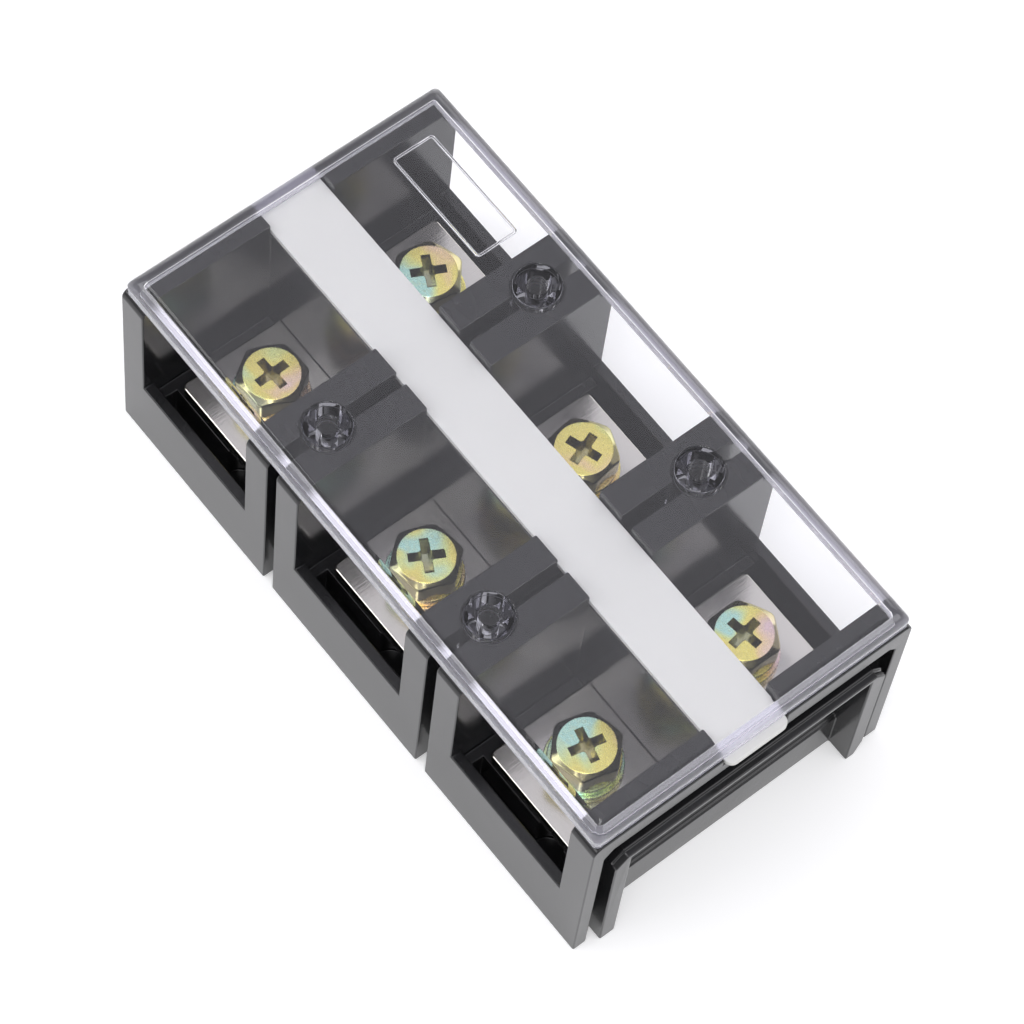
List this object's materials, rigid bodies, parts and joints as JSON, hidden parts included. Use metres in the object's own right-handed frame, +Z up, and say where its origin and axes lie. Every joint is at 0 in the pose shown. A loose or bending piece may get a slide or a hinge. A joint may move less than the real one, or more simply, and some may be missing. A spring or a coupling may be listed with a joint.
{
  "type": "barrier terminal strip",
  "caption": "Black barrier terminal strip of nested single-pole modules with tin-plated plates, hexagon screws, a white marking strip and a clear lift-off cover.",
  "frame": {"origin": "middle of the footprint, on the plane of the underside", "axes": "+X along the row of poles towards the marking strip's tab, +Y across the row, +Z up"},
  "size_m": [0.112, 0.0582, 0.0413],
  "materials": {
    "base_moulding": "gloss moulded",
    "tinned_plate": "bright tin plate",
    "zinc_steel": "yellow zinc plate",
    "marking_plastic": "white sheet",
    "clear_plastic": "clear moulded"
  },
  "bodies": {
    "base": {"base_module_1": "base_moulding", "base_module_2": "base_moulding", "base_module_3": "base_moulding", "conductor_plate_1": "tinned_plate", "conductor_plate_2": "tinned_plate", "conductor_plate_3": "tinned_plate", "marking_strip": "marking_plastic"},
    "cover": {"cover": "clear_plastic"},
    "washers_1": {"flat_washer_1": "zinc_steel", "spring_washer_1": "zinc_steel"},
    "screw_1": {"terminal_screw_1": "zinc_steel"},
    "washers_2": {"flat_washer_2": "zinc_steel", "spring_washer_2": "zinc_steel"},
    "screw_2": {"terminal_screw_2": "zinc_steel"},
    "washers_3": {"flat_washer_3": "zinc_steel", "spring_washer_3": "zinc_steel"},
    "screw_3": {"terminal_screw_3": "zinc_steel"},
    "washers_4": {"flat_washer_4": "zinc_steel", "spring_washer_4": "zinc_steel"},
    "screw_4": {"terminal_screw_4": "zinc_steel"},
    "washers_5": {"flat_washer_5": "zinc_steel", "spring_washer_5": "zinc_steel"},
    "screw_5": {"terminal_screw_5": "zinc_steel"},
    "washers_6": {"flat_washer_6": "zinc_steel", "spring_washer_6": "zinc_steel"},
    "screw_6": {"terminal_screw_6": "zinc_steel"}
  },
  "joints": [
    {"name": "cover_lift", "type": "slide", "parent": "base", "child": "cover", "axis": [0, 0, 1], "range_m": [0, 0.03]},
    {"name": "screw_lift_1", "type": "slide", "parent": "base", "child": "washers_1", "axis": [0, 0, 1], "range_m": [0, 0.008]},
    {"name": "screw_turn_1", "type": "hinge", "parent": "washers_1", "child": "screw_1", "pos_m": [-0.0373, -0.0147, 0.0177], "axis": [0, 0, 1], "range_deg": [0, 2880]},
    {"name": "screw_lift_2", "type": "slide", "parent": "base", "child": "washers_2", "axis": [0, 0, 1], "range_m": [0, 0.008]},
    {"name": "screw_turn_2", "type": "hinge", "parent": "washers_2", "child": "screw_2", "pos_m": [-0.0373, 0.0147, 0.0177], "axis": [0, 0, 1], "range_deg": [0, 2880]},
    {"name": "screw_lift_3", "type": "slide", "parent": "base", "child": "washers_3", "axis": [0, 0, 1], "range_m": [0, 0.008]},
    {"name": "screw_turn_3", "type": "hinge", "parent": "washers_3", "child": "screw_3", "pos_m": [0, -0.0147, 0.0177], "axis": [0, 0, 1], "range_deg": [0, 2880]},
    {"name": "screw_lift_4", "type": "slide", "parent": "base", "child": "washers_4", "axis": [0, 0, 1], "range_m": [0, 0.008]},
    {"name": "screw_turn_4", "type": "hinge", "parent": "washers_4", "child": "screw_4", "pos_m": [0, 0.0147, 0.0177], "axis": [0, 0, 1], "range_deg": [0, 2880]},
    {"name": "screw_lift_5", "type": "slide", "parent": "base", "child": "washers_5", "axis": [0, 0, 1], "range_m": [0, 0.008]},
    {"name": "screw_turn_5", "type": "hinge", "parent": "washers_5", "child": "screw_5", "pos_m": [0.0373, -0.0147, 0.0177], "axis": [0, 0, 1], "range_deg": [0, 2880]},
    {"name": "screw_lift_6", "type": "slide", "parent": "base", "child": "washers_6", "axis": [0, 0, 1], "range_m": [0, 0.008]},
    {"name": "screw_turn_6", "type": "hinge", "parent": "washers_6", "child": "screw_6", "pos_m": [0.0373, 0.0147, 0.0177], "axis": [0, 0, 1], "range_deg": [0, 2880]}
  ],
  "couplings": [
    {"joint": "screw_turn_1", "follows": "screw_lift_1", "rad_per_m": 6283.2},
    {"joint": "screw_turn_2", "follows": "screw_lift_2", "rad_per_m": 6283.2},
    {"joint": "screw_turn_3", "follows": "screw_lift_3", "rad_per_m": 6283.2},
    {"joint": "screw_turn_4", "follows": "screw_lift_4", "rad_per_m": 6283.2},
    {"joint": "screw_turn_5", "follows": "screw_lift_5", "rad_per_m": 6283.2},
    {"joint": "screw_turn_6", "follows": "screw_lift_6", "rad_per_m": 6283.2}
  ]
}
